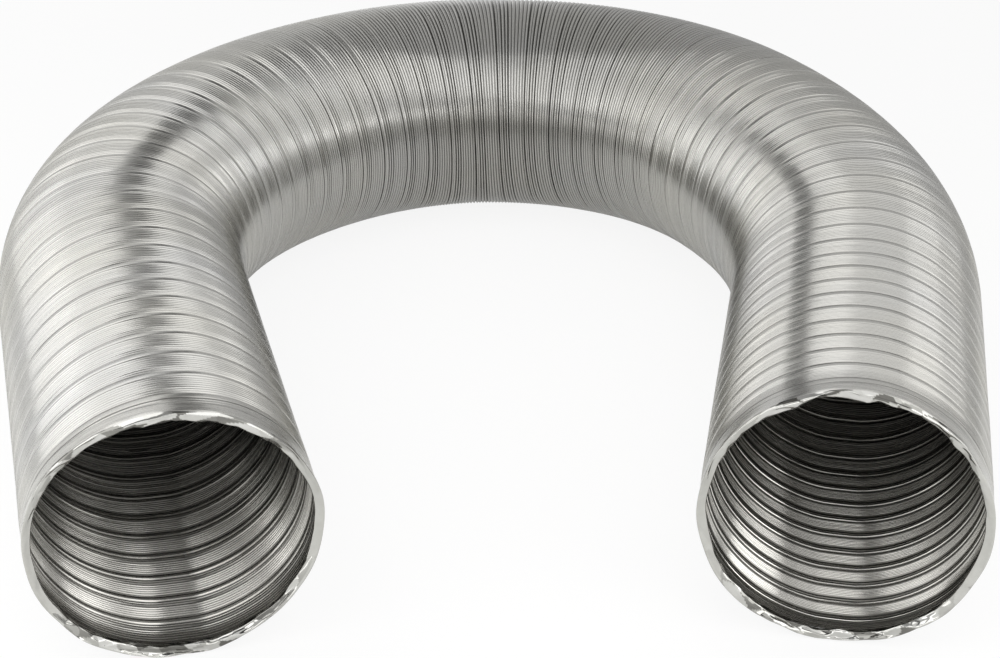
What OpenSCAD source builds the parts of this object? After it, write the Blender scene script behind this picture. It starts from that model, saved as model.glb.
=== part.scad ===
// Flexible air duct: one corrugated aluminium strip, wound into a spiral tube with a lock seam in
// every turn, lying on its side in a horseshoe bend. Both cut ends are folded in to a round lip.
// Short stiff sections alternate with pleats, where the duct bends, lifts or stretches.
// Millimetres, +Z up, origin on the ground in the middle of the footprint, mouths towards -Y.

/* [Mouths] */
// Bore of the folded lips, the duct's nominal size
mouth_d = 125; // [100:1:160]
// Thickness of a folded lip, from its bore to its outside
lip_t = 3; // [2.2:0.1:4.5]
// Length of a folded lip along the duct
lip_l = 9; // [6:0.5:14]

/* [Corrugated wall] */
// Depth of the wall, from its bore to the crest of the lock seam
wall_t = 1.5; // [1.2:0.1:2]
// Depth of the groove on each side of the lock seam
groove_depth = 0.8; // [0.4:0.1:1]
// How far the broad rib between two seams stays below the seam's crest
rib_drop = 0.2; // [0:0.1:0.3]

/* [Route] */
// Straight length of the left leg, from its mouth to the bend
left_leg = 226; // [190:1:280]
// Angle by which the left leg leans outwards, away from the mouths
left_splay = 14; // [0:1:25]
// Centre line radius of the left shoulder
left_bend_r = 232; // [180:1:300]
// Angle that the left shoulder turns
left_bend_a = 73; // [60:1:85]
// Centre line radius of the tight bend at the back
crown_bend_r = 175; // [150:1:230]
// Angle that the tight bend turns
crown_bend_a = 89; // [75:1:100]
// Centre line radius of the right shoulder
right_bend_r = 297; // [220:1:360]
// Angle that the right shoulder turns
right_bend_a = 42; // [30:1:55]
// Straight length of the right leg, from the bend to its mouth
right_leg = 203; // [180:1:260]

/* [Turns of the strip] */
// Turns in each mouth section
mouth_turns = 4; // [3:1:5]
// Turns in each pleated joint
pleat_turns = 2; // [2:1:3]
// Turns in each of the three long sections beside the crown, on both sides
bend_turns = 3; // [2:1:4]
// Turns in the crown section and in the last section before a lift pleat
short_turns = 2; // [1:1:3]
// Turns in the ring between the lift and stretch pleats
ring_turns = 1; // [1:1:2]
// How much wider a turn is pulled at the crown, as a share of the mean turn
crown_stretch = 0.2; // [0:0.05:0.3]

/* [Resolution] */
// Sides of the tube where it bends
bend_sides = 20; // [16:4:24]

/* [Hidden] */
lip_r = mouth_d / 2;
crest_r = lip_r + lip_t;
bore_r = crest_r - wall_t;
groove_r = crest_r - groove_depth;
rib_r = crest_r - rib_drop;

// Places of the four rings of one turn, as shares of the turn: groove, seam, groove, broad rib
seam_at = 0.12;
seam_end_at = 0.25;
rib_at = 0.62;

// The tube is flattened this deep where it rests, which sets how high its axis lies
rest_flat = 0.5;
axis_z = crest_r - rest_flat;

// Scale of a bent tube's corners, which puts its lowest facets on the ground
corner_scale = axis_z / (crest_r * cos(180 / bend_sides));

round_fn = 96;
bright = [0.80, 0.81, 0.82];
pleat_grey = [0.70, 0.71, 0.73];
lip_white = [0.88, 0.89, 0.90];

// Each side's spans from the crown out to the mouth: [name, turns]
side_spans = [
    ["pleats_1", pleat_turns], ["section_1", bend_turns],
    ["pleats_2", pleat_turns], ["section_2", bend_turns],
    ["pleats_3", pleat_turns], ["section_3", bend_turns],
    ["pleats_4", pleat_turns], ["section_4", short_turns],
    ["lift_pleats", pleat_turns], ["leg_ring", ring_turns],
    ["stretch_pleats", pleat_turns], ["mouth_section", mouth_turns],
];
function reversed(list) = [for (i = [len(list) - 1:-1:0]) list[i]];
function on_side(side, spans) = [for (s = spans) [str(side, "_", s[0]), s[1]]];

// All spans in order along the strip, from the left mouth to the right mouth
spans = concat(
    on_side("left", reversed(side_spans)),
    [["crown_section", short_turns]],
    on_side("right", side_spans)
);
function turns_before(i) = i == 0 ? 0 : turns_before(i - 1) + spans[i - 1][1];
total_turns = turns_before(len(spans));

// ---- Centre line -------------------------------------------------------------------------------

// One entry per stretch: [length, radius of its clockwise turn, or 0 where it is straight]
function arc_length(radius, angle) = radius * angle * PI / 180;
route = [
    [left_leg, 0],
    [arc_length(left_bend_r, left_bend_a), left_bend_r],
    [arc_length(crown_bend_r, crown_bend_a), crown_bend_r],
    [arc_length(right_bend_r, right_bend_a), right_bend_r],
    [right_leg, 0],
];
function route_length(i = 0) = i == len(route) ? 0 : route[i][0] + route_length(i + 1);
duct_l = route_length();

// A pose is [x, y, heading]. This moves one along a straight or a clockwise arc.
function advance(pose, l, r) = r == 0
    ? [pose.x + l * cos(pose.z), pose.y + l * sin(pose.z), pose.z]
    : let (h = pose.z - l / r * 180 / PI)
      [pose.x + r * (sin(pose.z) - sin(h)), pose.y + r * (cos(h) - cos(pose.z)), h];
function walk(pose, s, i) = i == len(route) - 1 || s <= route[i][0]
    ? advance(pose, s, route[i][1])
    : walk(advance(pose, route[i][0], route[i][1]), s - route[i][0], i + 1);

// The footprint of the tube, from rings a few degrees of bend apart, sets where the walk starts
unplaced = [0, 0, 90 + left_splay];
footprint_steps = 400;
outline = [for (i = [0:footprint_steps]) walk(unplaced, duct_l * i / footprint_steps, 0)];
function reach_x(p) = crest_r * abs(sin(p.z));
function reach_y(p) = crest_r * abs(cos(p.z));
low_x = min([for (p = outline) p.x - reach_x(p)]);
high_x = max([for (p = outline) p.x + reach_x(p)]);
low_y = min([for (p = outline) p.y - reach_y(p)]);
high_y = max([for (p = outline) p.y + reach_y(p)]);
start = [-(low_x + high_x) / 2, -(low_y + high_y) / 2, unplaced.z];
function pose_at(s) = walk(start, s, 0);

// ---- Turns of the strip ------------------------------------------------------------------------

// Distance along the duct at which turn k starts: turns are closest at the mouths
strip_l = duct_l - 2 * lip_l;
mean_turn = strip_l / total_turns;
function turn_s(k) = duct_l / 2 + mean_turn * (
    (k - total_turns / 2)
    + crown_stretch * total_turns / (2 * PI) * sin(360 * (k - total_turns / 2) / total_turns)
);

// Outer profile of the turns from k0 to k1, as [distance along the duct, radius]
function turn_part(k, share) = turn_s(k) + share * (turn_s(k + 1) - turn_s(k));
function wall_profile(k0, k1) = concat(
    [for (k = [k0:k1 - 1]) each [
        [turn_s(k), groove_r],
        [turn_part(k, seam_at), crest_r],
        [turn_part(k, seam_end_at), groove_r],
        [turn_part(k, rib_at), rib_r],
    ]],
    [[turn_s(k1), groove_r]]
);

// ---- Straight and bent lengths of the wound tube --------------------------------------------------

// Puts what is built round +Z on the centre line at distance s, with +Z along the duct
module on_route(s) {
    p = pose_at(s);
    translate([p.x, p.y, axis_z]) rotate([0, 90, p.z]) children();
}

// Everything below the ground, which flattens round pieces where they rest
module ground() {
    translate([low_x - high_x, low_y - high_y, -lip_r])
        cube([2 * (high_x - low_x), 2 * (high_y - low_y), lip_r]);
}

// A straight length, revolved from the profile of its wall
module straight_tube(k0, k1) {
    s0 = turn_s(k0);
    profile = [for (p = wall_profile(k0, k1)) [p[1], p[0] - s0]];
    difference() {
        on_route(s0) rotate_extrude($fn = round_fn)
            polygon(concat([[bore_r, 0]], profile, [[bore_r, turn_s(k1) - s0]]));
        ground();
    }
}

// A ring of corners round the centre line, square to it, with a flat side down
function ring(s, r) = let (p = pose_at(s), c = r * corner_scale) [
    for (j = [0:bend_sides - 1]) let (a = (j + 0.5) * 360 / bend_sides)
        [p.x + c * cos(a) * sin(p.z), p.y - c * cos(a) * cos(p.z), axis_z + c * sin(a)]
];

// A bent length: rings of the wall's outside one way, and of its bore back again
module bent_tube(k0, k1) {
    outside = [for (p = wall_profile(k0, k1)) ring(p[0], p[1])];
    inside = [for (k = [k1:-1:k0]) ring(turn_s(k), bore_r)];
    rings = concat(outside, inside);
    n = len(rings);
    function corner(i, j) = (i % n) * bend_sides + j % bend_sides;
    polyhedron(
        points = [for (r = rings) each r],
        faces = [for (i = [0:n - 1], j = [0:bend_sides - 1]) each [
            [corner(i, j), corner(i, j + 1), corner(i + 1, j + 1)],
            [corner(i, j), corner(i + 1, j + 1), corner(i + 1, j)],
        ]]
    );
}

// The turns of one span, revolved where its whole length lies in a straight leg
module wound_tube(i) {
    k0 = turns_before(i);
    k1 = k0 + spans[i][1];
    in_left_leg = turn_s(k1) <= left_leg;
    in_right_leg = turn_s(k0) >= duct_l - right_leg;
    if (in_left_leg || in_right_leg) straight_tube(k0, k1);
    else bent_tube(k0, k1);
}

// ---- Pieces ------------------------------------------------------------------------------------

// The cut end of the strip, folded inwards to a smooth band with a round front edge
module lip_profile() {
    translate([lip_r, lip_t / 2]) square([lip_t, lip_l - lip_t / 2]);
    translate([lip_r + lip_t / 2, lip_t / 2]) circle(d = lip_t, $fn = 32);
}

module left_mouth_lip() {
    color(lip_white) difference() {
        on_route(0) rotate_extrude($fn = round_fn) lip_profile();
        ground();
    }
}

module right_mouth_lip() {
    color(lip_white) difference() {
        on_route(duct_l) mirror([0, 0, 1]) rotate_extrude($fn = round_fn) lip_profile();
        ground();
    }
}

// A stiff section, which keeps its shape while the duct is bent
module section(i) {
    color(bright) wound_tube(i);
}

// A pleated joint, whose turns open and close as the duct bends, lifts or stretches
module pleats(i) {
    color(pleat_grey) wound_tube(i);
}

left_mouth_lip();
for (i = [0:2:len(spans) - 1])
    section(i);
for (i = [1:2:len(spans) - 1])
    pleats(i);
right_mouth_lip();
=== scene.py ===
"""A flexible aluminium air duct lying in a horseshoe bend: one corrugated strip wound into a tube
with a lock seam in every turn, both cut ends folded in to a crumpled lip. Metres, +Z up, mouths
towards -Y."""
import math

import bpy
import numpy as np
from mathutils import Matrix


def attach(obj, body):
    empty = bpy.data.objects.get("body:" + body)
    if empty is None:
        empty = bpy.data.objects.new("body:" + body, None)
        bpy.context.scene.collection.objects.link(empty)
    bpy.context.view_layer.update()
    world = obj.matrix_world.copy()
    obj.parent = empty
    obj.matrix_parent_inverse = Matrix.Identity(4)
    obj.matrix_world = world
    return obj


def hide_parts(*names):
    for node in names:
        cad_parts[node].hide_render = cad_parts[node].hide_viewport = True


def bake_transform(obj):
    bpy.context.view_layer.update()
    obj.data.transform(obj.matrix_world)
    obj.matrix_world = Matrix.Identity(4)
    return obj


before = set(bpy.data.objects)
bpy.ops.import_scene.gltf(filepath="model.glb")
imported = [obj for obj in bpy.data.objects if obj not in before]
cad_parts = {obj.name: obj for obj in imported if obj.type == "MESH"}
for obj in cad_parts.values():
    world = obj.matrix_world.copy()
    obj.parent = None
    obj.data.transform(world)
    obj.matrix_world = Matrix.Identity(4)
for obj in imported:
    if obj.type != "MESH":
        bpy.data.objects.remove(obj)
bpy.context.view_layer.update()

# ---- Camera --------------------------------------------------------------------------------------
# A long lens on a stand in front of the mouths, midway between them and well above the floor,
# looking down at the bend.

mm = 0.001
sensor_width = 36.0
focal_length = 75.73
camera_place = (1.9 * mm, -1043.0 * mm, 583.7 * mm)
camera_pitch = math.radians(28.43)
camera_yaw = math.radians(0.31)
camera_roll = math.radians(-0.10)

camera_data = bpy.data.cameras.new("camera")
camera_data.lens = focal_length
camera_data.sensor_width = sensor_width
camera = bpy.data.objects.new("camera", camera_data)
aimed = Matrix.Rotation(-camera_yaw, 3, "Z") @ Matrix.Rotation(math.pi / 2 - camera_pitch, 3, "X")
camera.location = camera_place
camera.rotation_euler = (aimed @ Matrix.Rotation(camera_roll, 3, "Z")).to_euler()
bpy.context.scene.collection.objects.link(camera)
bpy.context.scene.camera = camera


# ---- Route of the duct ---------------------------------------------------------------------------
# The duct is one length of stock, bent by hand: two straight legs, two wide shoulders and a tight
# bend at the back. It keeps the shape it is bent to, because the corrugated aluminium yields in its
# pleats.

crest_r = 65.5 * mm  # outside radius, at the crest of the lock seam
axis_z = 65.0 * mm  # the tube is flattened 0.5 mm where it rests
lip_l = 9.0 * mm  # length of each folded lip
left_splay = math.radians(14)  # lean of the left leg, outwards from the mouths

# Each stretch from the left mouth: its length, and the angle by which it turns clockwise
left_leg, left_shoulder = (226 * mm, 0.0), (232 * mm * math.radians(73), math.radians(73))
crown = (175 * mm * math.radians(89), math.radians(89))
right_shoulder, right_leg = (297 * mm * math.radians(42), math.radians(42)), (203 * mm, 0.0)
stretches = np.array([left_leg, left_shoulder, crown, right_shoulder, right_leg])

joints_s = np.concatenate([[0], np.cumsum(stretches[:, 0])])
joints_heading = math.pi / 2 + left_splay - np.concatenate([[0], np.cumsum(stretches[:, 1])])
duct_l = joints_s[-1]

# The centre line is the sum of short steps along the heading, with its footprint round the origin
route_points = 6001
route_s = np.linspace(0, duct_l, route_points)
route_heading = np.interp(route_s, joints_s, joints_heading)
step_heading = (route_heading[1:] + route_heading[:-1]) / 2
route_xy = np.zeros((route_points, 2))
route_xy[1:, 0] = np.cumsum(np.cos(step_heading)) * route_s[1]
route_xy[1:, 1] = np.cumsum(np.sin(step_heading)) * route_s[1]
reach = crest_r * np.abs(np.stack([np.sin(route_heading), np.cos(route_heading)], axis=1))
route_xy -= ((route_xy - reach).min(axis=0) + (route_xy + reach).max(axis=0)) / 2


def on_route(s):
    """The point and the heading on the centre line, a distance s along it from the left mouth."""
    heading = np.interp(s, joints_s, joints_heading)
    x = np.interp(s, route_s, route_xy[:, 0])
    y = np.interp(s, route_s, route_xy[:, 1])
    return x, y, heading


def round_route(s, angle, radius):
    """Points at that radius round the centre line. The angle starts level on the inside of the
    bend and turns up over the top."""
    x, y, heading = on_route(s)
    out = radius * np.cos(angle)
    height = axis_z + radius * np.sin(angle)
    points = [x + out * np.sin(heading), y - out * np.cos(heading), height]
    return np.stack(np.broadcast_arrays(*points), axis=-1)


# ---- Corrugated wall -----------------------------------------------------------------------------
# Semi-rigid duct wall: an aluminium strip of about 0.1 mm, rolled with eight fine ribs and wound
# into a right-handed spiral. Each turn hooks over the last in a flat lock seam, with a slit on both
# sides and a hem of folded foil inside.

foil_t = 0.25 * mm  # drawn as thick as the folds of the seam, which are over twice the foil
rib_count = 8
rib_slope = 0.44  # a rib's depth, from its crest to the valley beside it, as a share of its width
foil_uneven, uneven_cycles = 0.06 * mm, 0.35  # height and cycles per turn of the wall's unevenness
columns = 92  # of the mesh, round the tube

# Places and widths across the strip are shares of it, which start at the seam's near slit
seam_w = 4.3 * mm
seam_u = 0.19  # the seam's flat band takes the strip up to here
seam_ramp = 0.06  # how much of the strip the band's edges take, as half a rib does
slit_width, slit_depth, slit_cycles = 0.024, 0.25 * mm, 0.9
near_slit_open, far_slit_open = (0.95, 0.35), (0.5, 0.45)  # mean, and how much it varies
# The band is flat where the seam takes this share of a turn, and is bent by this much where the
# turns are pulled so far apart that it takes the lesser one
flat_share, bent_share, band_bend = 0.22, 0.175, 0.85
roll_floor = 0.15  # how far the seam's two rolls inside stand off the deepest place of a rib
# The hem: where it starts and ends, how far it stands over the ribs, and how full its curve is
hem_from, hem_to, hem_height, hem_fullness = 0.235, 0.383, 0.05 * mm, 0.7
# The grooves beside the seam and the hem, dark with painted shade: place and width
hem_grooves = ((-0.038, 0.011), (0.2185, 0.011), (0.4, 0.016))
groove_depth = 0.2 * mm

# The last stretch before a mouth is pressed flat with the lip: its length, and the share of their
# height that ribs and seam keep at least, outside and inside
pressed_l, kept_outside, kept_inside = 16 * mm, 0.22, 0.6

# Painted shade darkens a rib's valley outside and its hollow inside, from these depths on and this
# fast; it covers the hem's flanks more than its top, and the ridge before the seam
valley_from, valley_fade = 0.8, 1.5
hollow_from, hollow_fade = 0.44, 2.5
hollow_shade, hem_flank_shade, hem_top_shade = 0.75, 2.2, 0.2
ridge_place, ridge_width, ridge_shade = -0.008, 0.03, 0.7
# Deep in the bore painted shade covers everything, and evens out the rest
deep_from, deep_to, deep_shade, deep_shade_cover = 50 * mm, 180 * mm, 0.6, 0.3

# The sections are counted in mean turns, of which the ones at the crown are pulled wider
turns = 58
crown_stretch = 0.2
mean_turn = (duct_l - 2 * lip_l) / turns


def section_s(turn):
    """Distance along the duct of a place that is counted in mean turns from the left mouth: the
    turns plus a sine of them, which stretches the ones at the crown."""
    from_middle = turn - turns / 2
    spread = crown_stretch * turns / math.tau * np.sin(math.tau * from_middle / turns)
    return duct_l / 2 + mean_turn * (from_middle + spread)


# Handling has pulled the strip's own turns apart and pushed them together: how wide they are, at
# stations along the duct
stations = [0, 125, 235, 305, 420, 540, 640, 770, 830, 905, 960, 1035, 1080, 1214]
widths = [18.4, 18.0, 24.4, 18.9, 21.5, 23.1, 24.7, 24.1, 20.3, 21.9, 22.1, 19.2, 14.1, 13.9]
stations, widths = mm * np.array(stations), mm * np.array(widths)

# Turns wound up to each distance, from a little before the left mouth to a little past the right
past_end = 60 * mm
first_turn = 0.096  # the share of a turn that is wound where the left mouth is cut
wound_s = np.linspace(-past_end, duct_l + past_end, 8001)
turns_per_step = np.diff(wound_s)[0] / np.interp(wound_s, stations, widths)
wound_turn = np.cumsum(turns_per_step)
wound_turn += first_turn - np.interp(0, wound_s, wound_turn)

# Rows of the mesh across the strip, close together at the edges of its seam and hem
rib_steps = 4  # rows from one valley to the next
edge_steps = np.array([-1.3, -0.55, 0, 0.55, 1.3])
edges = ((0, slit_width), (seam_u, slit_width), *hem_grooves)
edge_rows = [place + edge_steps * width for place, width in edges]
seam_rows = np.linspace(0, seam_u, 2 * rib_steps + 1)
hem_rows = np.linspace(0.26, 0.36, 4)  # over its round back
rib_rows = np.linspace(seam_u, 1, rib_steps * rib_count + 1)
valleys = np.concatenate([rib_rows[::rib_steps], seam_rows[::rib_steps]])
strip_rows = np.concatenate([*edge_rows, seam_rows, hem_rows, rib_rows])
strip_rows = np.unique(np.round(strip_rows % 1, 3))
valley_rows = np.isin(strip_rows, np.round(valleys % 1, 3))


def seam_share(s):
    """The seam's share of a turn, which grows where the turns are pushed together."""
    return seam_w / np.interp(s, stations, widths)


def waves(turn, angle, seed, cycles, count=7):
    """Smooth unevenness of the foil from about -1 to 1: a sum of sine waves that close round the
    tube, with whole numbers of cycles round it, and up to that many cycles per turn along it."""
    draw = np.random.default_rng(seed)
    total = np.zeros(np.broadcast(turn, angle).shape)
    for _ in range(count):
        round_cycles = draw.integers(-4, 5)
        along = draw.uniform(0.3, 1.0) * cycles
        phase = draw.uniform(0, math.tau)
        total = total + np.sin(math.tau * along * turn + round_cycles * angle + phase)
    highest = 2.5  # times the sum's usual height
    return total / math.sqrt(count / 2) / highest


# How far hands have pressed each mouth down, how much of that widens it, and how far it reaches
left_squash, right_squash, widening, squash_l = 3.2 * mm, -1.1 * mm, 0.25, 45 * mm
# Small dents round a mouth: cycles round it, height, phase, and how the right mouth's phase differs
dent_waves = ((3, 1.0, 0.6, 2.1), (5, 0.8, 1.0, 4.83), (8, 0.6, 0.0, 7.77), (13, 0.5, 0.0, 2.1))
dent_height, dent_l = 0.28 * mm, 16 * mm
rest_rounding = 0.2 * mm  # where the flat on the ground meets the round of the tube


def crest_radius(s, angle):
    """Radius over the crests. The tube is flat where it rests on the ground. Hands have pressed its
    mouths a little out of round: the left one is lower and wider, the right one higher and
    narrower, and both have small dents, which all die out along the duct. The radius is the lesser
    of this and the distance of the ground, and their meeting is rounded."""
    from_mouth = np.minimum(s, duct_l - s)
    at_left = s < duct_l / 2
    squash = np.where(at_left, left_squash, right_squash) * np.exp(-from_mouth / squash_l)
    pressed = squash * (widening * np.cos(angle) ** 2 - np.maximum(np.sin(angle), 0) ** 2)
    wave = 0.0
    for cycles, height, phase, right_shift in dent_waves:
        shift = np.where(at_left, 0.0, right_shift)
        wave = wave + height * np.sin(cycles * angle + phase + shift)
    dented = crest_r + pressed + dent_height * wave * np.exp(-from_mouth / dent_l)
    # The ground is measured along the radius, and counts only where that points well down
    downwards = np.maximum(-np.sin(angle), 0.5)
    above_ground = axis_z / downwards - dented
    return dented - rest_rounding * np.log1p(np.exp(-above_ground / rest_rounding))


def line(u, place, width):
    """A soft line along the strip: 1 at its place across the strip, and a bell curve beside it."""
    away = np.abs((u - place + 0.5) % 1 - 0.5)
    return np.exp(-((away / width) ** 2))


def slit_line(u, place, opening, turn, angle, seed):
    """One open edge of the seam: a soft line that is wider and narrower open in waves."""
    mean, change = opening
    return line(u, place, slit_width) * (mean + change * waves(turn, angle, seed, slit_cycles))


def wall_shape(s, angle):
    """Radius of the outside and of the inside, and how much painted shade each takes, from 0 to 1.
    The share of a turn is that at s plus the share of a turn gone round, so ribs and seam wind in a
    spiral. A rib's back is half a sine wave between two sharp valleys, and the seam a flat band."""
    turn = np.interp(s, wound_s, wound_turn) + angle / math.tau
    share = turn % 1
    seam = seam_share(s)
    on_ribs = seam_u + (share - seam) / (1 - seam) * (1 - seam_u)
    u = np.where(share < seam, share / seam * seam_u, on_ribs)
    rib_depth = rib_slope * np.interp(s, stations, widths) * (1 - seam) / rib_count
    rib_back = np.abs(np.sin(math.pi * rib_count * (u - seam_u) / (1 - seam_u)))

    # Where the turns are pulled apart, the seam's band bends in two ribs of its own
    pulled = np.clip((flat_share - seam) / (flat_share - bent_share), 0, 1)
    flat_band = np.sin(math.pi / 2 * np.clip(np.minimum(u, seam_u - u) / seam_ramp, 0, 1))
    ribbed_band = np.abs(np.sin(math.tau * u / seam_u))
    seam_back = flat_band + band_bend * pulled * (ribbed_band - flat_band)
    back = np.where(u < seam_u, seam_back, rib_back)
    near_slit = slit_line(u, 0, near_slit_open, turn, angle, 3)
    far_slit = slit_line(u, seam_u, far_slit_open, turn, angle, 4) * (1 - pulled)
    slit = np.clip(near_slit + far_slit, 0, 1)
    outside = (back - 0.5) * rib_depth - slit_depth * slit

    # Inside, the seam shows as two rolls, and the hem lies over the ribs as a third and wider one
    rolls = np.where(u < seam_u, roll_floor + (1 - roll_floor) * ribbed_band, rib_back)
    across = np.clip((u - hem_from) / (hem_to - hem_from), 0, 1)
    hemmed = np.sin(math.pi * across) ** hem_fullness
    ribbed = (rolls - 0.5) * rib_depth * (1 - hemmed)
    grooves = sum(line(u, place, width) for place, width in hem_grooves)
    inside = ribbed - hemmed * (rib_depth / 2 + hem_height) - foil_t + groove_depth * grooves

    from_mouth = np.minimum(s, duct_l - s) - lip_l
    pressed = np.clip(from_mouth / pressed_l, kept_outside, 1)
    waving = foil_uneven * waves(turn, angle, 5, uneven_cycles)
    middle_r = crest_radius(s, angle) - rib_depth / 2 + waving
    outside_r = middle_r + pressed * outside
    inside_r = np.minimum(middle_r + np.maximum(pressed, kept_inside) * inside, outside_r - foil_t)

    # A valley takes half as much painted shade where the turns are pushed together and it is closed
    valley = np.clip(valley_fade * (valley_from - back), 0, 1) * (0.5 + 0.5 * pulled)
    # Painted shade outside: the seam's slits and the valleys between the ribs
    outside_groove = np.maximum(slit, valley * pressed)
    # Painted shade inside: the hollows, the hem's flanks, the ridge before the seam and the deep
    # bore
    hollow = np.clip(hollow_fade * (rolls - hollow_from), 0, 1)
    hem_shade = hemmed * (hem_flank_shade - (hem_flank_shade - hem_top_shade) * hemmed)
    shade_inside = hollow_shade * hollow * (1 - hemmed) + hem_shade
    shade_inside = shade_inside + ridge_shade * line(u, ridge_place, ridge_width)
    deep = np.clip((from_mouth - deep_from) / (deep_to - deep_from), 0, 1)
    shade_inside = shade_inside + (deep_shade - deep_shade_cover * shade_inside) * deep
    inside_groove = np.clip(np.maximum(grooves, shade_inside), 0, 1)
    return outside_r, inside_r, outside_groove, inside_groove


def store(mesh, name, values):
    """Keeps one number for each point of a mesh, for its material."""
    layer = mesh.attributes.new(name, "FLOAT", "POINT")
    layer.data.foreach_set("value", np.asarray(values, np.float32).ravel())


def wall_mesh(name, s_from, s_to):
    """A closed shell of wall between two cuts square to the centre line. Rows of the grid follow
    the strip and columns run along the duct. Points past a cut are drawn back to it, so that
    neighbours share it."""
    first = math.floor(np.interp(s_from, wound_s, wound_turn)) - 1
    last = math.ceil(np.interp(s_to, wound_s, wound_turn)) + 1
    per_turn = len(strip_rows)
    drawn_turns = last + 1 - first
    turn = (np.arange(first, last + 1)[:, None] + strip_rows[None, :]).ravel()
    row_u = np.tile(strip_rows, drawn_turns)
    angle = np.arange(columns) * math.tau / columns
    u = row_u[:, None]
    seam = seam_share(np.interp(turn[:, None] - angle / math.tau, wound_turn, wound_s))
    on_ribs = seam + (u - seam_u) / (1 - seam_u) * (1 - seam)
    share = np.where(u < seam_u, u / seam_u * seam, on_ribs)
    s = np.interp(turn[:, None] - u + share - angle / math.tau, wound_turn, wound_s)
    clamped = np.clip(s, s_from, s_to)

    # Every point past a cut is the one point of its column on that cut
    rows = len(turn)
    place = np.arange(rows * columns).reshape(rows, columns)
    start_ring = rows * columns + np.arange(columns)
    end_ring = start_ring + columns
    place = np.where(s <= s_from, start_ring[None, :], place)
    place = np.where(s >= s_to, end_ring[None, :], place)

    # Quads of the grid; past the last column the strip goes on one turn of rows earlier
    row = np.arange(per_turn, rows - 1)
    this_row, next_row = place[row], place[row + 1]
    one_on = np.concatenate([this_row[:, 1:], place[row - per_turn, :1]], axis=1)
    both_on = np.concatenate([next_row[:, 1:], place[row + 1 - per_turn, :1]], axis=1)
    quads = np.stack([this_row, next_row, both_on, one_on], axis=-1).reshape(-1, 4)
    u_low = row_u[row]
    u_high = np.where(row_u[row + 1] < u_low, 1.0, row_u[row + 1])
    along = angle / math.tau - np.floor(turn[row])[:, None]
    along_on = along + 1 / columns
    low = np.broadcast_to(u_low[:, None], along.shape)
    high = np.broadcast_to(u_high[:, None], along.shape)
    corners = ((low, along), (high, along), (high, along_on), (low, along_on))
    quad_uv = np.stack([np.stack(corner, axis=-1) for corner in corners], axis=2)
    quad_uv = quad_uv.reshape(-1, 4, 2)
    triangles = np.concatenate([quads[:, [0, 1, 2]], quads[:, [0, 2, 3]]])
    uv = np.concatenate([quad_uv[:, [0, 1, 2]], quad_uv[:, [0, 2, 3]]])
    a, b, c = triangles.T
    real = (a != b) & (b != c) & (c != a)
    triangles, uv = triangles[real], uv[real]

    # Outside and inside have the same grid, a foil's thickness apart, and meet in the two rims
    all_s = np.concatenate([clamped.ravel(), np.full(columns, s_from), np.full(columns, s_to)])
    all_angle = np.concatenate([np.tile(angle, rows), angle, angle])
    outside_r, inside_r, outside_groove, inside_groove = wall_shape(all_s, all_angle)
    outside = round_route(all_s, all_angle, outside_r)
    inside = round_route(all_s, all_angle, inside_r)
    outside[:, 2] = np.maximum(outside[:, 2], 0)
    inside[:, 2] = np.maximum(inside[:, 2], foil_t / 2)
    count = len(outside)
    ring_on = np.roll(np.arange(columns), -1)
    rims = []
    for ring, flipped in ((start_ring, False), (end_ring, True)):
        o, o_on, i, i_on = ring, ring[ring_on], ring + count, ring[ring_on] + count
        rim = np.concatenate([np.stack([o, o_on, i_on], 1), np.stack([o, i_on, i], 1)])
        rims.append(rim[:, ::-1] if flipped else rim)
    rims = np.concatenate(rims)
    faces = np.concatenate([triangles, triangles[:, ::-1] + count, rims])
    uv = np.concatenate([uv, uv[:, ::-1], np.zeros((len(rims), 3, 2))])
    points = np.concatenate([outside, inside])

    used, faces = np.unique(faces, return_inverse=True)
    faces = faces.reshape(-1, 3)
    mesh = bpy.data.meshes.new(name)
    mesh.from_pydata(points[used], [], faces)
    smooth = np.ones(len(faces), bool)
    smooth[-len(rims):] = False
    mesh.polygons.foreach_set("use_smooth", smooth)
    # Inside, the valleys between the ribs stand up as sharp edges
    in_valley = np.zeros(2 * count, bool)
    grid_inside = slice(count, count + rows * columns)
    in_valley[grid_inside] = np.repeat(np.tile(valley_rows, drawn_turns), columns)
    edge_ends = np.zeros(2 * len(mesh.edges), np.int32)
    mesh.edges.foreach_get("vertices", edge_ends)
    sharp = in_valley[used][edge_ends].reshape(-1, 2).all(axis=1)
    mesh.attributes.new("sharp_edge", "BOOLEAN", "EDGE").data.foreach_set("value", sharp)
    mesh.uv_layers.new(name="strip").data.foreach_set("uv", uv.astype(np.float32).ravel())
    store(mesh, "groove", np.concatenate([outside_groove, inside_groove])[used])
    store(mesh, "bore", used >= count)
    mesh.validate()
    piece = bpy.data.objects.new(name, mesh)
    bpy.context.scene.collection.objects.link(piece)
    return piece


def linear(hex_colour):
    """An sRGB hex colour as linear red, green, blue and alpha."""
    parts = [int(hex_colour[i : i + 2], 16) / 255 for i in (1, 3, 5)]
    return [c / 12.92 if c <= 0.04045 else ((c + 0.055) / 1.055) ** 2.4 for c in parts] + [1.0]


def add_node(tree, kind, settings=(), inputs=()):
    """Adds a shader node. Settings are its own fields; inputs are values, or sockets to link."""
    node = tree.nodes.new(kind)
    for key, value in dict(settings).items():
        setattr(node, key, value)
    for key, value in dict(inputs).items():
        if isinstance(value, bpy.types.NodeSocket):
            tree.links.new(value, node.inputs[key])
        else:
            node.inputs[key].default_value = value
    return node


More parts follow.
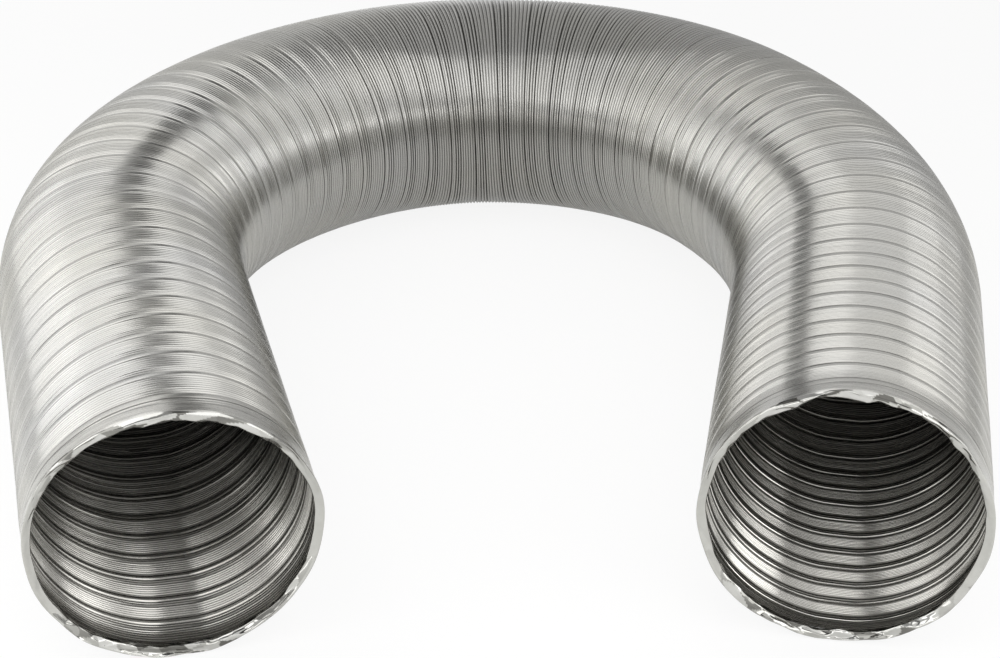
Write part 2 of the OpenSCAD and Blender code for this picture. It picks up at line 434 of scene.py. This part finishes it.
def rolled_aluminium(name):
    """Soft-temper aluminium strip, bright rolled: it mirrors broadly, with faint rolling lines
    along the strip, a slight warm and cool drift in its oxide, and painted shade, dark grey, in the
    slits of the seam, the valleys of the ribs and the bore. The oxide is paler and a little
    smoother in the bore."""
    material = bpy.data.materials.new(name)
    material.use_nodes = True
    tree = material.node_tree
    shader = tree.nodes["Principled BSDF"]
    shader.inputs["Metallic"].default_value = 1.0
    shader.inputs["Anisotropic"].default_value = 0.75
    across = add_node(tree, "ShaderNodeTangent", {"direction_type": "UV_MAP", "uv_map": "strip"})
    tree.links.new(across.outputs["Tangent"], shader.inputs["Tangent"])

    # Rolling lines are finer than 0.1 mm. They are drawn coarse enough to show: 60 across a turn,
    # which is a third of a millimetre each, and 5 in the length of a turn
    strip = add_node(tree, "ShaderNodeUVMap", {"uv_map": "strip"})
    stretched = add_node(
        tree, "ShaderNodeMapping", inputs={"Vector": strip.outputs["UV"], "Scale": (60, 5, 1)}
    )
    lines = add_node(
        tree,
        "ShaderNodeTexNoise",
        inputs={"Vector": stretched.outputs["Vector"], "Scale": 1.0, "Detail": 2.0},
    )
    # The oxide drifts from warm to cool over 70 mm or so
    place = add_node(tree, "ShaderNodeTexCoord")
    drift = add_node(
        tree,
        "ShaderNodeTexNoise",
        inputs={"Vector": place.outputs["Object"], "Scale": 14.0, "Detail": 2.0},
    )
    warm_oxide, cool_oxide = linear("#C3C1B9"), linear("#BEBEBE")
    tint = add_node(
        tree,
        "ShaderNodeMix",
        {"data_type": "RGBA"},
        {"Factor": drift.outputs["Fac"], "A": warm_oxide, "B": cool_oxide},
    )
    bore = add_node(tree, "ShaderNodeAttribute", {"attribute_name": "bore"})
    bore_oxide, bore_smoother = linear("#DAD8D2"), -0.04
    sides = add_node(
        tree,
        "ShaderNodeMix",
        {"data_type": "RGBA"},
        {"Factor": bore.outputs["Fac"], "A": tint.outputs["Result"], "B": bore_oxide},
    )
    # Painted shade: where the groove value is high, the colour is mixed towards dark grey
    groove = add_node(tree, "ShaderNodeAttribute", {"attribute_name": "groove"})
    painted_shade_colour, deepest_shade_share = linear("#3C3B37"), 0.95
    shade = add_node(
        tree, "ShaderNodeMath", {"operation": "MULTIPLY"}, {0: groove.outputs["Fac"], 1: deepest_shade_share}
    )
    colour = add_node(
        tree,
        "ShaderNodeMix",
        {"data_type": "RGBA"},
        {"Factor": shade.outputs["Value"], "A": sides.outputs["Result"], "B": painted_shade_colour},
    )
    tree.links.new(colour.outputs["Result"], shader.inputs["Base Color"])

    rough = add_node(
        tree,
        "ShaderNodeMapRange",
        inputs={
            "Value": lines.outputs["Fac"],
            "From Min": 0.38,
            "From Max": 0.62,
            "To Min": 0.2,
            "To Max": 0.36,
        },
    )
    bore_rough = add_node(
        tree,
        "ShaderNodeMath",
        {"operation": "MULTIPLY_ADD"},
        {0: bore.outputs["Fac"], 1: bore_smoother, 2: rough.outputs["Result"]},
    )
    tree.links.new(bore_rough.outputs["Value"], shader.inputs["Roughness"])
    bump = add_node(
        tree,
        "ShaderNodeBump",
        inputs={"Height": lines.outputs["Fac"], "Strength": 0.15, "Distance": 0.05 * mm},
    )
    tree.links.new(bump.outputs["Normal"], shader.inputs["Normal"])
    return material


wall_metal = rolled_aluminium("rolled_aluminium_strip")

# The wall is drawn in twelve lengths. Each reaches from the middle of one stiff section, over the
# pleats where the duct bends, to the middle of the next section.
section_turns = [1, 3, 3, 3, 2, 1, 4]  # turns of the strip in each section, from the crown out
pleat_turns = 2  # turns of the strip between two sections
side_pleats = ["pleats_1", "pleats_2", "pleats_3", "pleats_4", "lift_pleats", "stretch_pleats"]
side_sections = [
    "section_1", "section_2", "section_3", "section_4", "leg_ring", "mouth_section",
]


# Turns from the crown's middle to each section's start
section_starts, at_turn = [], 0
for count in section_turns:
    section_starts.append(at_turn)
    at_turn += count + pleat_turns

for side, way in (("left", -1), ("right", 1)):
    for number, pleats in enumerate(side_pleats):
        near_turn = section_starts[number] + (0 if number == 0 else section_turns[number] / 2)
        far_turn = section_starts[number + 1] + section_turns[number + 1] / 2
        near_s, far_s = (section_s(turns / 2 + way * t) for t in (near_turn, far_turn))
        if number == len(side_pleats) - 1:
            end_s = lip_l if side == "left" else duct_l - lip_l
            bend_end_s = section_s(turns / 2 + way * section_starts[number + 1])
        else:
            end_s = bend_end_s = far_s
        piece = wall_mesh(f"{side}_wall_{number + 1}", min(near_s, end_s), max(near_s, end_s))
        piece.data.materials.append(wall_metal)
        x, y, heading = on_route(np.array([near_s, bend_end_s]))
        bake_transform(piece)
        stands_for = [f"{side}_{pleats}", f"{side}_{side_sections[number]}"]
        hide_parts(*stands_for, *(["crown_section"] if number == 0 else []))

# ---- Folded lips ---------------------------------------------------------------------------------
# At each mouth the cut end of the strip is pressed flat and folded inwards by hand to a narrow band
# with no sharp edge. The soft foil buckles into long flat facets as it is turned in.

flange_lean = 2.1 * mm  # how much deeper the turned-in front's inner edge lies than its outer edge
fold_r = 61.3 * mm  # inside of the fold
fold_l = 5.2 * mm  # how deep its cut end lies
fold_opens = 0.7 * mm  # how much wider its cut end is
flare, flare_l = 0.5 * mm, 3.5 * mm  # the edge stands out from the wall, and over what length
edge_round = 0.5 * mm  # rounding of the edges before and behind the front
front_start = 0.1 * mm  # how deep the front's first row lies
front_from, front_to = 0.08, 0.97  # how far inwards its first and last rows are, of its width
wall_rows, front_rows, fold_rows, lip_columns = 12, 8, 10, 720
facet_l, facet_w = 13 * mm, 4.2 * mm  # a facet's length round the mouth, and across the band
facet_depth = 2.0 * mm
large_share = 0.7  # of the depth, and the rest is small facets, which are finer by these factors
finer_round, finer_across = 2.6, 1.9
least_crumpled = 0.25  # at the sides of the mouth, against its top and bottom
bruise_l, bruise_share = 2.2 * mm, 0.5  # how far they reach back over the wall, and how strongly


def facets(across, along, seed):
    """Buckled foil from -1 to 1: random heights at the corners of a warped lattice, and a flat
    triangle between each three of them. The lattice closes round the mouth. Also each triangle's
    own random tone."""
    draw = np.random.default_rng(seed)
    lattice_rows, middle_row = 40, 20
    warp_along, warp_across, warp_row, warp_swing, warp_cycles = 0.35, 0.4, 2.7, 4, 3
    cells = int(np.max(along)) + 1
    heights = draw.uniform(-1, 1, (lattice_rows, cells))
    along, across = np.broadcast_arrays(along, across)
    gone_round = math.tau * along / cells
    swing = math.tau * across / warp_row + warp_swing * np.sin(gone_round)
    u = along + warp_along * np.sin(swing)
    v = across + warp_across * np.sin(warp_cycles * gone_round) + middle_row
    i, j = np.floor(u).astype(int), np.floor(v).astype(int)
    p, q = u - i, v - j
    here, next_u = heights[j, i % cells], heights[j, (i + 1) % cells]
    next_v, both = heights[j + 1, i % cells], heights[j + 1, (i + 1) % cells]
    lower = here + p * (next_u - here) + q * (next_v - here)
    upper = both + (1 - p) * (next_v - both) + (1 - q) * (next_u - both)
    tones = draw.uniform(-1, 1, (2, lattice_rows, cells))
    tone = np.where(p + q < 1, tones[0, j, i % cells], tones[1, j, i % cells])
    return np.where(p + q < 1, lower, upper), tone


def lip_mesh(name, end_s, inward, seed):
    """A closed band round the mouth. Its profile is the pressed wall, the turned-in front and the
    fold inside, carried round the centre line and pushed in and out by the facets."""
    angle = np.arange(lip_columns)[None, :] * math.tau / lip_columns
    depth = np.concatenate(
        [
            np.linspace(lip_l, edge_round, wall_rows),
            np.linspace(front_start, flange_lean, front_rows),
            np.linspace(flange_lean + edge_round, fold_l, fold_rows),
        ]
    )[:, None]
    front_share = np.linspace(front_from, front_to, front_rows)
    share = np.concatenate([np.zeros(wall_rows), front_share, np.ones(fold_rows)])[:, None]
    s = end_s + inward * depth
    outer_r = wall_shape(s, angle)[0] + flare * np.exp(-((depth / flare_l) ** 2))
    opens = fold_opens * np.clip((depth - flange_lean) / (fold_l - flange_lean), 0, 1)
    inner_r = fold_r + opens + crest_radius(s, angle) - crest_r
    radius = outer_r * (1 - share) + inner_r * share

    # Facets are laid out by the length run across the band, and by the angle round the mouth
    step = np.hypot(np.diff(depth[:, 0]), np.diff(radius[:, 0]))
    run = np.concatenate([[0], np.cumsum(step)])[:, None]
    facets_round = math.tau * fold_r / facet_l
    along = angle / math.tau
    large, tone = facets(run / facet_w, along * round(facets_round), seed)
    small, _ = facets(
        run / facet_w * finer_across, along * round(facets_round * finer_round), seed + 1
    )
    crumpled = least_crumpled + (1 - least_crumpled) * np.sin(angle) ** 2
    push = facet_depth * (large_share * large + (1 - large_share) * small) * crumpled
    # They push the front along the duct, most in its middle, the fold in and out, and the edge in
    forward = push * np.sin(math.pi * np.clip(share, 0, 0.95)) ** 0.5
    near_edge = np.exp(-((depth / bruise_l) ** 2))
    edge_push = bruise_share * (push - facet_depth) * near_edge * crumpled
    sideways = np.where(share > 0, push * share**0.5 + edge_push, edge_push)
    points = round_route(s + inward * forward, angle, radius + sideways)
    points[..., 2] = np.maximum(points[..., 2], 0)

    # The band closes on itself both round the mouth and round its own profile
    rows = len(depth)
    place = np.arange(rows * lip_columns).reshape(rows, lip_columns)
    down, on = np.roll(place, -1, 0), np.roll(place, -1, 1)
    both = np.roll(place, (-1, -1), (0, 1))
    quads = np.stack([place, down, both, on], axis=-1).reshape(-1, 4)
    # The strip's own directions on the lip: across the strip is along the duct
    across = np.broadcast_to(run / run[-1], (rows, lip_columns))
    around = np.broadcast_to(along, (rows, lip_columns))
    corners = [(0, 0), (-1, 0), (-1, -1), (0, -1)]
    corner_uv = [
        np.stack([np.roll(across, c, (0, 1)), around - (c[1] / lip_columns)], axis=-1)
        for c in corners
    ]
    uv = np.stack(corner_uv, axis=2).reshape(-1, 4, 2)
    if inward > 0:
        quads, uv = quads[:, ::-1], uv[:, ::-1]
    mesh = bpy.data.meshes.new(name)
    mesh.from_pydata(points.reshape(-1, 3), [], quads)
    mesh.polygons.foreach_set("use_smooth", np.ones(len(quads), bool))
    mesh.uv_layers.new(name="strip").data.foreach_set("uv", uv.astype(np.float32).ravel())
    # Painted reflection: each facet's random tone, strongest at the top and bottom of the mouth
    store(mesh, "painted_facet_reflection", 0.5 + 0.5 * tone * np.sin(angle) ** 2 * np.ones((rows, 1)))
    folded = (np.roll(share[:, 0], -1) > 0) | (depth[:, 0] < bruise_l)
    mesh.materials.append(wall_metal)
    mesh.materials.append(lip_metal)
    mesh.polygons.foreach_set("material_index", np.repeat(folded, lip_columns).astype(np.int32))
    mesh.validate()
    piece = bpy.data.objects.new(name, mesh)
    bpy.context.scene.collection.objects.link(piece)
    return piece


def folded_aluminium(name):
    """The same strip turned in by hand: each facet is painted lighter or darker, from dark grey to
    white, as a painted reflection, and all are smoother than the rolled wall."""
    material = bpy.data.materials.new(name)
    material.use_nodes = True
    tree = material.node_tree
    shader = tree.nodes["Principled BSDF"]
    shader.inputs["Metallic"].default_value = 1.0
    # The marks of handling are 4 or 5 mm wide
    place = add_node(tree, "ShaderNodeTexCoord")
    marks = add_node(
        tree,
        "ShaderNodeTexNoise",
        inputs={"Vector": place.outputs["Object"], "Scale": 220.0, "Detail": 3.0},
    )
    tint = add_node(
        tree,
        "ShaderNodeMix",
        {"data_type": "RGBA"},
        {"Factor": marks.outputs["Fac"], "A": linear("#C2C1BD"), "B": linear("#D2D2CF")},
    )
    # Painted reflection: facets are mixed from dark grey to white by their tone
    painted_facet_reflection = add_node(tree, "ShaderNodeAttribute", {"attribute_name": "painted_facet_reflection"})
    facet_reflection_ramp = add_node(tree, "ShaderNodeValToRGB", inputs={"Fac": painted_facet_reflection.outputs["Fac"]})
    ramp = facet_reflection_ramp.color_ramp.elements
    ramp[0].position, ramp[0].color = 0.2, linear("#8C8B88")
    ramp[1].position, ramp[1].color = 0.85, linear("#FFFFFF")
    ramp.new(0.5).color = linear("#EDEDEB")
    colour = add_node(
        tree,
        "ShaderNodeMix",
        {"data_type": "RGBA", "blend_type": "MULTIPLY"},
        {"Factor": 1.0, "A": tint.outputs["Result"], "B": facet_reflection_ramp.outputs["Color"]},
    )
    tree.links.new(colour.outputs["Result"], shader.inputs["Base Color"])
    rough = add_node(
        tree,
        "ShaderNodeMapRange",
        inputs={
            "Value": marks.outputs["Fac"],
            "From Min": 0.4,
            "From Max": 0.6,
            "To Min": 0.05,
            "To Max": 0.12,
        },
    )
    tree.links.new(rough.outputs["Result"], shader.inputs["Roughness"])
    return material


lip_metal = folded_aluminium("folded_aluminium_lip")
for side, end_s, inward, seed in (("left", 0.0, 1, 11), ("right", duct_l, -1, 23)):
    lip = lip_mesh(f"{side}_folded_lip", end_s, inward, seed)
    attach(lip, f"{side}_mouth")
    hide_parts(f"{side}_mouth_lip")

# ---- Studio --------------------------------------------------------------------------------------
# A plain white floor under a low tent of white cloth, in a dim room. Cloth panels overhead and
# around are lit from behind, some more than others, with a dim gap over the left leg. The camera
# sees none of the tent or the room, but a pale backdrop.

floor_half = 4.0
floor_z = -0.3 * mm
floor_corners = [(-1, -1), (1, -1), (1, 1), (-1, 1)]
floor_mesh = bpy.data.meshes.new("floor")
floor_mesh.from_pydata(
    [(floor_half * x, floor_half * y, floor_z) for x, y in floor_corners], [], [(0, 1, 2, 3)]
)
floor = bpy.data.objects.new("floor", floor_mesh)
bpy.context.scene.collection.objects.link(floor)


def backdrop_share(tree, seen, mirrored):
    """How much of the pale backdrop a ray gets: one share for what the camera sees, and another
    for what metal mirrors and glass lets through."""
    rays = add_node(tree, "ShaderNodeLightPath").outputs
    larger, product = {"operation": "MAXIMUM"}, {"operation": "MULTIPLY"}
    off_camera = {0: rays["Is Glossy Ray"], 1: rays["Is Transmission Ray"]}
    either = add_node(tree, "ShaderNodeMath", larger, off_camera).outputs["Value"]
    in_mirror = add_node(tree, "ShaderNodeMath", product, {0: either, 1: mirrored})
    in_view = add_node(tree, "ShaderNodeMath", product, {0: rays["Is Camera Ray"], 1: seen})
    shares = {0: in_mirror.outputs["Value"], 1: in_view.outputs["Value"]}
    return add_node(tree, "ShaderNodeMath", larger, shares).outputs["Value"]


def white_floor(name):
    """White board with a matt laminate. It takes the object's shadow, and the camera sees it
    lightened towards plain white."""
    material = bpy.data.materials.new(name)
    material.use_nodes = True
    tree = material.node_tree
    matt = tree.nodes["Principled BSDF"]
    matt.inputs["Base Color"].default_value = linear("#FAFAF9")
    matt.inputs["Roughness"].default_value = 0.9
    white = {"Color": (1, 1, 1, 1), "Strength": 1.0}
    glow = add_node(tree, "ShaderNodeEmission", inputs=white)
    share = backdrop_share(tree, seen=0.88, mirrored=0.3)
    mixed = add_node(
        tree,
        "ShaderNodeMixShader",
        inputs={0: share, 1: matt.outputs["BSDF"], 2: glow.outputs["Emission"]},
    )
    tree.links.new(mixed.outputs["Shader"], tree.nodes["Material Output"].inputs["Surface"])
    return material


floor_mesh.materials.append(white_floor("white_floor"))

tent_half, tent_height = 1.7, 0.48
wall_height = 0.95 * tent_height


def soft_panel(name, middle, facing, width, height, radiance):
    """One white panel of the light tent, lit evenly from behind. Watts are pi times the area times
    the radiance. It is seen in what mirrors it, and not by the camera."""
    lamp_data = bpy.data.lights.new(name, "AREA")
    lamp_data.shape = "RECTANGLE"
    lamp_data.size, lamp_data.size_y = width, height
    lamp_data.energy = math.pi * width * height * radiance
    lamp = bpy.data.objects.new(name, lamp_data)
    lamp.location = middle
    lamp.rotation_euler = facing
    lamp.visible_camera = False
    bpy.context.scene.collection.objects.link(lamp)


# The roof's panels: where each begins and ends from left to right and from front to back, and its
# radiance
roof_panels = (
    ("roof_left", -1.7, -0.45, -0.7, 0.05, 2.3),
    ("roof_left_near", -0.45, -0.17, -0.7, 0.05, 1.8),
    ("roof_gap", -0.17, -0.03, -0.7, 0.05, 0.35),
    ("roof_middle", -0.03, 0.16, -0.7, 0.1, 1.7),
    ("roof_middle_right", 0.16, 0.43, -0.7, 0.1, 1.15),
    ("roof_right_near", 0.43, 0.75, -0.7, 0.05, 1.7),
    ("roof_right", 0.75, 1.7, -0.7, 0.05, 1.15),
    ("roof_front_left", -1.7, -0.17, -1.7, -0.7, 0.6),
    ("roof_front_middle", -0.03, 0.31, -1.7, -0.7, 0.8),
    ("roof_front_right", 0.43, 1.7, -1.7, -0.7, 3.0),
    ("roof_back_left", -1.7, -0.17, 0.05, 1.7, 0.75),
    ("roof_back_right", -0.03, 1.7, 0.1, 1.7, 0.5),
)
for name, x_from, x_to, y_from, y_to, radiance in roof_panels:
    middle = ((x_from + x_to) / 2, (y_from + y_to) / 2, tent_height)
    soft_panel(name, middle, (0, 0, 0), x_to - x_from, y_to - y_from, radiance)

# The walls' panels: the azimuth of each, from the front to the right, its ends along the wall, and
# its radiance
wall_panels = (
    ("front_left_panel", 0, -1.7, -0.12, 2.4),
    ("front_right_panel", 0, -0.12, 1.7, 1.2),
    ("right_panel", 90, -1.7, 1.7, 0.55),
    ("back_right_panel", 180, -1.7, 0.12, 0.5),
    ("back_left_panel", 180, 0.12, 1.7, 0.9),
    ("left_panel", 270, -1.7, 1.7, 1.0),
)
for name, azimuth, end_from, end_to, radiance in wall_panels:
    round_z = math.radians(azimuth)
    along_wall = (end_from + end_to) / 2
    x = tent_half * math.sin(round_z) + along_wall * math.cos(round_z)
    y = along_wall * math.sin(round_z) - tent_half * math.cos(round_z)
    middle, facing = (x, y, tent_height / 2), (math.pi / 2, 0, round_z)
    soft_panel(name, middle, facing, end_to - end_from, wall_height, radiance)

world = bpy.data.worlds.new("studio")
world.use_nodes = True
tree = world.node_tree
dim_room, pale_backdrop = linear("#333333"), linear("#F4F4F4")
share = backdrop_share(tree, seen=1.0, mirrored=0.04)
around = add_node(
    tree,
    "ShaderNodeMix",
    {"data_type": "RGBA"},
    {"Factor": share, "A": dim_room, "B": pale_backdrop},
)
background = tree.nodes["Background"]
background.inputs["Strength"].default_value = 1.0
tree.links.new(around.outputs["Result"], background.inputs["Color"])
bpy.context.scene.world = world
bpy.context.scene.view_settings.view_transform = "Standard"
